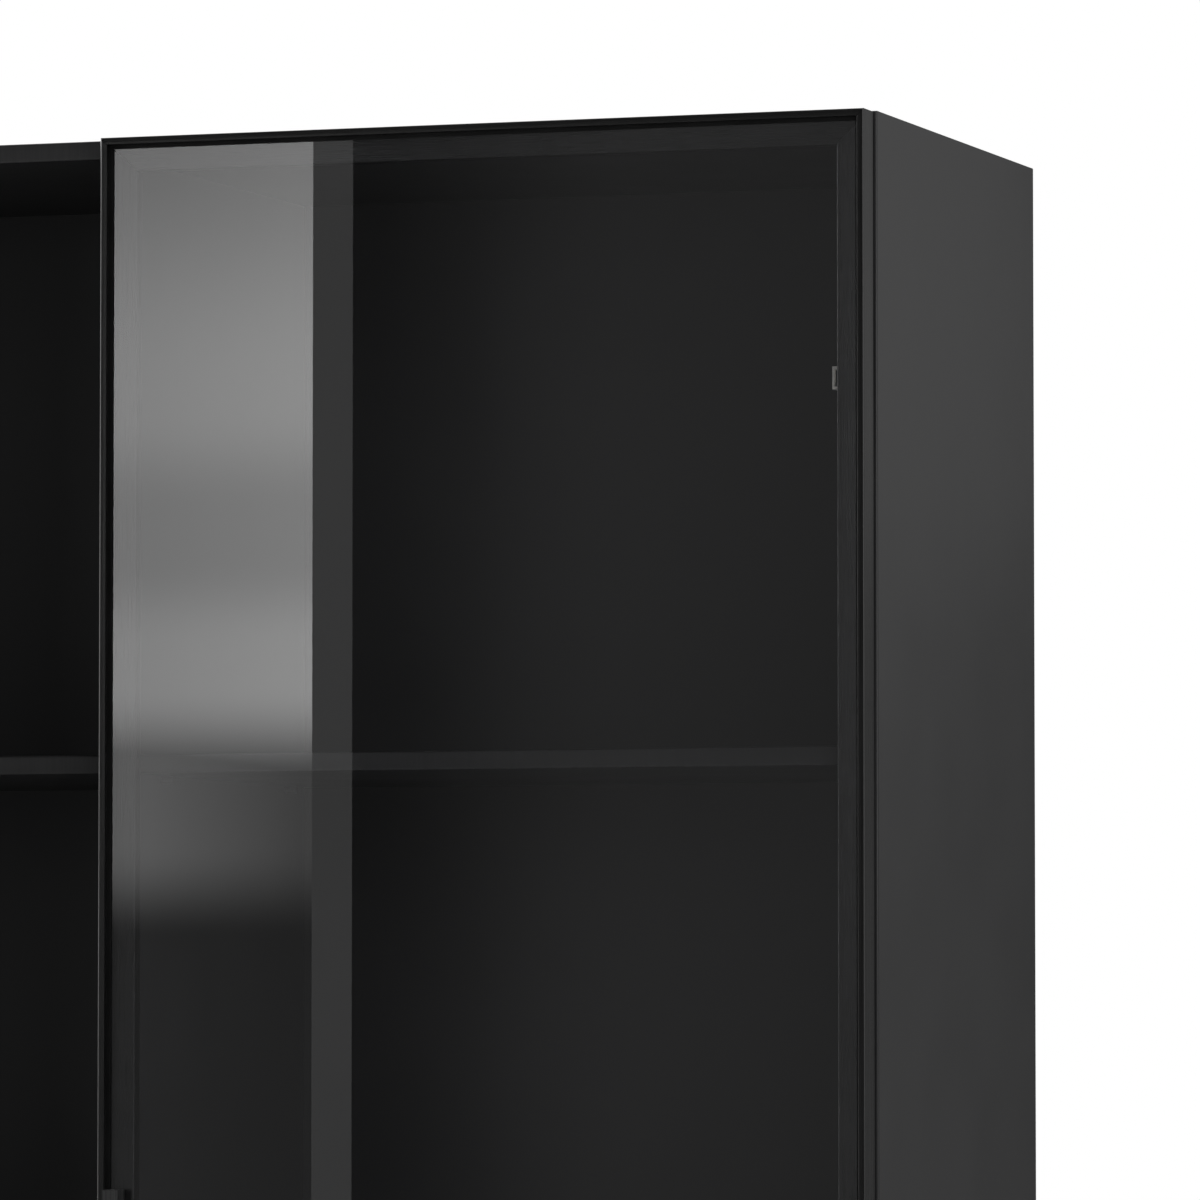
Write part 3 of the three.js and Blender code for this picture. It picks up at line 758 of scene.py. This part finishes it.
def bright_strip(g, across, down):
    """A tall softbox with a dimmer top, a soft waist, a half-lit foot and darkness below it."""
    peak = g.ramp(across, *SOFTBOX_TURN, *SOFTBOX_PEAK)
    crown = g.ramp(down, 0.0, SOFTBOX_CROWN_END, SOFTBOX_CROWN, 1.0, smooth=True)
    fall = g.ramp(down, *WAIST_FALL, smooth=True)
    rise = g.ramp(down, *WAIST_RISE, WAIST_DIP, 0.0, smooth=True)
    waist = g.math("SUBTRACT", 1.0, g.math("MULTIPLY", fall, rise))
    end = g.ramp(down, *SOFTBOX_END, 1.0, 0.0, smooth=True)
    shape = g.math("MULTIPLY", g.math("MULTIPLY", crown, waist), end)
    body = g.math("MULTIPLY", peak, shape)
    foot = g.math(
        "MULTIPLY",
        g.ramp(across, *SOFTBOX_TURN, *FOOT_LEVEL),
        g.ramp(down, *FOOT_END, 1.0, 0.0, smooth=True),
    )
    return g.math("ADD", g.math("MAXIMUM", body, foot), STUDIO_DARK)


def dim_band(g, across, down):
    """An evenly lit wall beside the softbox."""
    return DIM_BAND_LEVEL


def soft_field(g, across, down):
    """A dark wall that brightens to the right."""
    return g.ramp(across, 0.0, FIELD_END, *FIELD_LEVELS, smooth=True)


def cards(viewer):
    reflected_card("bright_strip_card", viewer, -0.06, BAND_START, bright_strip)
    reflected_card("dim_band_card", viewer, BAND_START, FIELD_START, dim_band)
    reflected_card("soft_field_card", viewer, FIELD_START, 1.02, soft_field)


def upright_card(name, corners, levels):
    """A four-cornered card, lit by levels(graph, object coordinates)."""
    bm = bmesh.new()
    bm.faces.new([bm.verts.new(corner) for corner in corners])
    finish, g = material(name)
    place = g.node("ShaderNodeSeparateXYZ", {0: g.place()})
    emission(g, levels(g, place.outputs))
    mirrored_only(stage_object(name, bm, finish))


BACKDROP_Y = 1.2
BACKDROP_SPAN = (0.3, 3.4)      # its left and right
BACKDROP_HEIGHTS = (-3.0, 2.4)  # its bottom and top
BACKDROP_STEP = (-0.21, -0.01)  # where its lower level turns into its upper one
BACKDROP_LEVELS = (0.155, 0.305)
BACKDROP_GAIN = (0.6, 1.9, 0.50, 1.9)  # from x to x, and the factor at each


def backdrop_card():
    """A two-level panel behind the cabinet, that its side mirrors at a grazing angle."""
    left, right = BACKDROP_SPAN
    low, high = BACKDROP_HEIGHTS

    def levels(g, place):
        level = g.ramp(place["Z"], *BACKDROP_STEP, *BACKDROP_LEVELS, smooth=True)
        return g.math("MULTIPLY", level, g.ramp(place["X"], *BACKDROP_GAIN))

    corners = [(left, low), (left, high), (right, high), (right, low)]
    upright_card("backdrop_card", [(x, BACKDROP_Y, z) for x, z in corners], levels)


SIDE_CARD_REACH = 2.5           # how far a side card goes up and down
SIDE_CARD_DIM = 0.4             # share of its level that its lower part has
SIDE_CARD_STEP = (-0.9, 0.2)


def side_card(name, x, front, back, glow):
    """A tall panel well off to one side, that the eased edges catch as bright lines."""
    low, high = -SIDE_CARD_REACH, SIDE_CARD_REACH

    def levels(g, place):
        return g.ramp(place["Z"], *SIDE_CARD_STEP, glow * SIDE_CARD_DIM, glow)

    corners = [(front, low), (back, low), (back, high), (front, high)]
    upright_card(name, [(x, y, z) for y, z in corners], levels)


# ---------------------------------------------------------------- build

viewer = camera().location.copy()
carcass()
shelf_pins()
door_bumpers()
hanging_hardware()
rail_screws()
door()
hinges()
bracket_screws()
floor()
world()
lights()
cards(viewer)
backdrop_card()
side_card("left_card", -3.0, -2.7, 3.5, 5.5)
side_card("right_card", 3.4, -3.2, 0.4, 2.2)
bpy.context.scene.view_settings.view_transform = "Standard"
